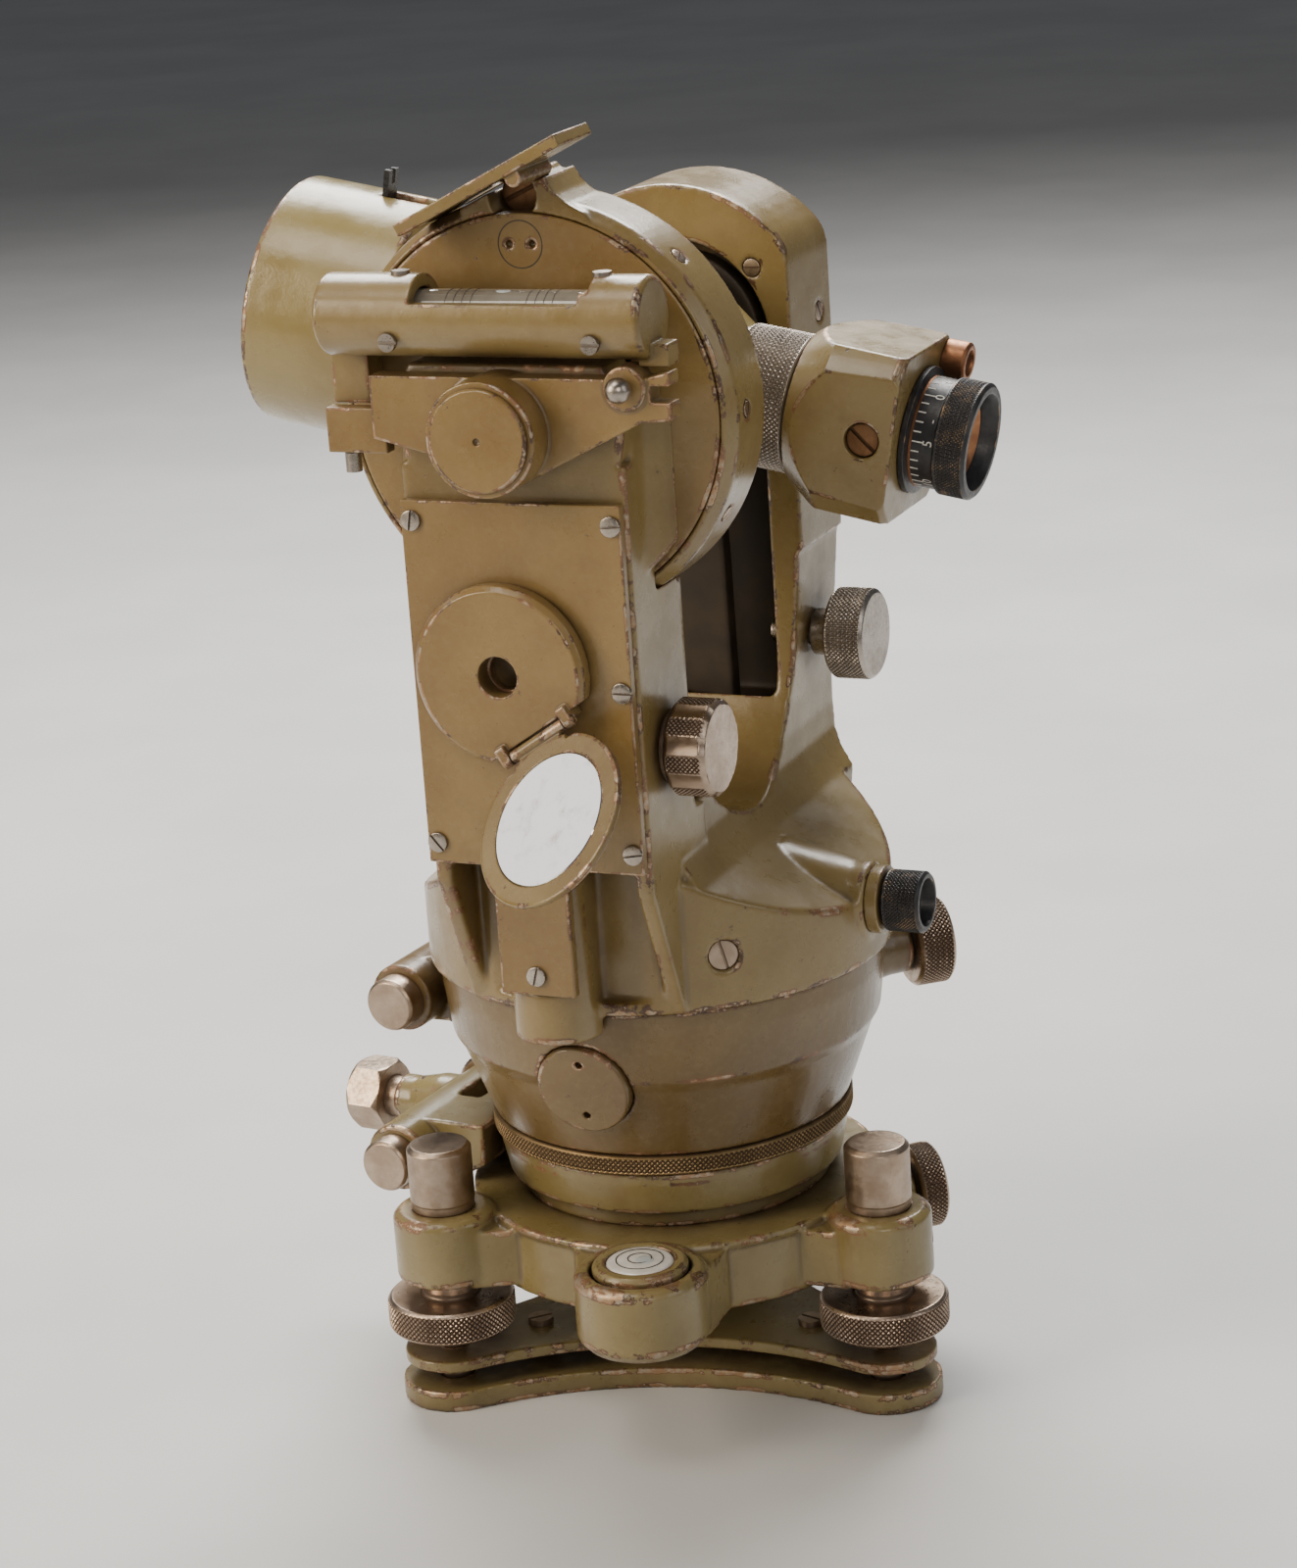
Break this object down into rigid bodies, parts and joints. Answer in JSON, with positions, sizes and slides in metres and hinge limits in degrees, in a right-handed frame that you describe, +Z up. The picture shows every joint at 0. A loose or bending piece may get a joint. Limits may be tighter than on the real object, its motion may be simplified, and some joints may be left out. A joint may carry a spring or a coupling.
{
  "type": "theodolite",
  "caption": "Optical theodolite in worn olive enamel on a levelling base, with tilting telescope between two standards, circle housing, bubble level and slow-motion knobs.",
  "frame": {"origin": "centre of the base plate's underside, on the vertical axis, where the tripod screw enters", "axes": "+Z up along the vertical axis, +X towards the telescope's eyepiece end, -Y towards the vertical circle side, which is the front"},
  "size_m": [0.1782, 0.1748, 0.3044],
  "materials": {
    "paint": "worn satin olive enamel, bare metal at the edges",
    "brass": "machined",
    "knurl_brass": "knurled, tarnished",
    "copper": "tarnished",
    "steel": "turned",
    "nickel": "knurled, worn plating",
    "black": "black oxide, worn at the edges",
    "glass": "clear",
    "mirror": "silvered glass"
  },
  "bodies": {
    "base": {"base_plate": "paint", "spring_plate": "paint", "base_screws": "steel", "tribrach": "paint", "foot_bushes": "brass", "foot_caps": "steel", "circular_level_cup": "paint", "circular_level_vial": "glass", "base_ring": "paint", "base_socket": "steel", "clamp_bracket": "paint", "lower_tangent_spring": "steel", "lower_tangent_cap": "steel"},
    "foot_left": {"foot_screw_left": "nickel"},
    "foot_right": {"foot_screw_right": "nickel"},
    "foot_rear": {"foot_screw_rear": "nickel"},
    "tribrach_lock": {"lock_knob": "nickel"},
    "lower_clamp": {"clamp_screw_hex": "nickel"},
    "lower_tangent": {"lower_tangent_screw": "nickel"},
    "limb": {"setting_ring": "knurl_brass", "limb_sleeve": "brass", "horizontal_circle": "glass"},
    "upper_clamp": {"upper_clamp_knob": "nickel"},
    "upper_tangent": {"upper_tangent_screw": "nickel"},
    "alidade": {"lower_housing": "paint", "two_hole_cover": "paint", "upper_tangent_spring": "steel", "upper_tangent_cap": "steel", "alidade_casting": "paint", "axis_spindle": "steel", "alidade_screws": "steel", "plummet_tube": "paint", "circle_housing": "paint", "circle_cover": "paint", "near_panel": "paint", "far_cover": "paint"},
    "plummet_focus": {"plummet_eyepiece": "black"},
    "illumination": {"illumination_disc": "paint"},
    "mirror": {"mirror_flap": "paint", "mirror_glass": "mirror"},
    "reader": {"reader_plate": "paint", "reader_mirror": "mirror"},
    "index_screw": {"index_knob": "nickel"},
    "level": {"level_carrier": "paint", "pivot_cap": "paint", "level_tube": "paint", "level_vial": "glass", "level_screws": "steel"},
    "elevation_screw": {"elevation_knob": "nickel"},
    "tangent_arm": {"elevation_arm": "paint"},
    "telescope": {"trunnion_axle": "steel", "vertical_circle": "glass", "telescope_body": "paint", "objective_lens": "glass", "eyepiece_block": "paint", "reading_eyepiece": "copper", "sight": "steel"},
    "focus_ring": {"focusing_ring": "nickel"},
    "focus_cell": {"focusing_lens": "brass"},
    "eyepiece_dioptre": {"eyepiece": "black"}
  },
  "joints": [
    {"name": "foot_left_turn", "type": "hinge", "parent": "base", "child": "foot_left", "pos_m": [-0.04294, -0.0419, 0.02], "axis": [0, 0, 1], "continuous": true},
    {"name": "foot_right_turn", "type": "hinge", "parent": "base", "child": "foot_right", "pos_m": [0.05776, -0.01624, 0.02], "axis": [0, 0, 1], "continuous": true},
    {"name": "foot_rear_turn", "type": "hinge", "parent": "base", "child": "foot_rear", "pos_m": [-0.01482, 0.05814, 0.02], "axis": [0, 0, 1], "continuous": true},
    {"name": "lock_turn", "type": "hinge", "parent": "base", "child": "tribrach_lock", "pos_m": [0.0522, 0.01948, 0.0368], "axis": [0.749, 0.6626, 0], "range_deg": [-180, 0]},
    {"name": "lower_clamp_turn", "type": "hinge", "parent": "base", "child": "lower_clamp", "pos_m": [-0.0795, 0.00892, 0.0526], "axis": [-0.9938, 0.1115, 0], "range_deg": [-180, 0]},
    {"name": "lower_tangent_turn", "type": "hinge", "parent": "base", "child": "lower_tangent", "pos_m": [-0.0563, 0.01839, 0.0526], "axis": [0.1115, 0.9938, 0], "range_deg": [-720, 720]},
    {"name": "limb_turn", "type": "hinge", "parent": "base", "child": "limb", "pos_m": [0, 0, 0.085], "axis": [0, 0, 1], "continuous": true},
    {"name": "upper_clamp_turn", "type": "hinge", "parent": "alidade", "child": "upper_clamp", "pos_m": [0.04994, 0.04161, 0.0924], "axis": [0.7683, 0.6401, 0], "range_deg": [-180, 0]},
    {"name": "upper_tangent_turn", "type": "hinge", "parent": "alidade", "child": "upper_tangent", "pos_m": [-0.05208, 0.03804, 0.0924], "axis": [0.1115, 0.9938, 0], "range_deg": [-720, 720]},
    {"name": "alidade_turn", "type": "hinge", "parent": "limb", "child": "alidade", "pos_m": [0, 0, 0.105], "axis": [0, 0, 1], "continuous": true},
    {"name": "plummet_focus_turn", "type": "hinge", "parent": "alidade", "child": "plummet_focus", "pos_m": [0.0632, -0.003, 0.119], "axis": [1, 0, 0], "range_deg": [-180, 180]},
    {"name": "illumination_turn", "type": "hinge", "parent": "alidade", "child": "illumination", "pos_m": [-0.0035, -0.068, 0.1886], "axis": [0, -1, 0], "continuous": true},
    {"name": "mirror_tilt", "type": "hinge", "parent": "illumination", "child": "mirror", "pos_m": [0.0055, -0.0715, 0.17489], "axis": [0.8358, 0, 0.549], "range_deg": [-130, 34]},
    {"name": "reader_tilt", "type": "hinge", "parent": "alidade", "child": "reader", "pos_m": [0.0045, -0.048, 0.295], "axis": [0, 1, 0], "range_deg": [0, 28]},
    {"name": "index_knob_turn", "type": "hinge", "parent": "alidade", "child": "index_screw", "pos_m": [0.0334, -0.048, 0.168], "axis": [1, 0, 0], "range_deg": [-360, 360]},
    {"name": "level_tilt", "type": "hinge", "parent": "alidade", "child": "level", "pos_m": [0, -0.07, 0.2425], "axis": [0, 1, 0], "range_deg": [-1.7, 1.7]},
    {"name": "elevation_knob_turn", "type": "hinge", "parent": "alidade", "child": "elevation_screw", "pos_m": [0.0372, 0.043, 0.1694], "axis": [1, 0, 0], "range_deg": [-360, 360]},
    {"name": "tangent_arm_swing", "type": "hinge", "parent": "alidade", "child": "tangent_arm", "pos_m": [0, 0.035, 0.2425], "axis": [0, 1, 0], "range_deg": [-2.1, 2.1]},
    {"name": "telescope_elevation", "type": "hinge", "parent": "alidade", "child": "telescope", "pos_m": [0, 0, 0.2425], "axis": [0, -1, 0], "continuous": true},
    {"name": "focus_turn", "type": "hinge", "parent": "telescope", "child": "focus_ring", "pos_m": [0.03638, 0, 0.23576], "axis": [0.9833, 0, -0.1822], "range_deg": [-126, 126]},
    {"name": "focus_slide", "type": "slide", "parent": "telescope", "child": "focus_cell", "axis": [0.9833, 0, -0.1822], "range_m": [-0.006, 0.006]},
    {"name": "dioptre_turn", "type": "hinge", "parent": "telescope", "child": "eyepiece_dioptre", "pos_m": [0.07669, 0, 0.22829], "axis": [0.9833, 0, -0.1822], "range_deg": [-150, 150]}
  ],
  "couplings": [
    {"joint": "level_tilt", "follows": "index_knob_turn", "ratio": 0.004444},
    {"joint": "tangent_arm_swing", "follows": "elevation_knob_turn", "ratio": 0.005556},
    {"joint": "focus_turn", "follows": "focus_slide", "rad_per_m": 349}
  ]
}
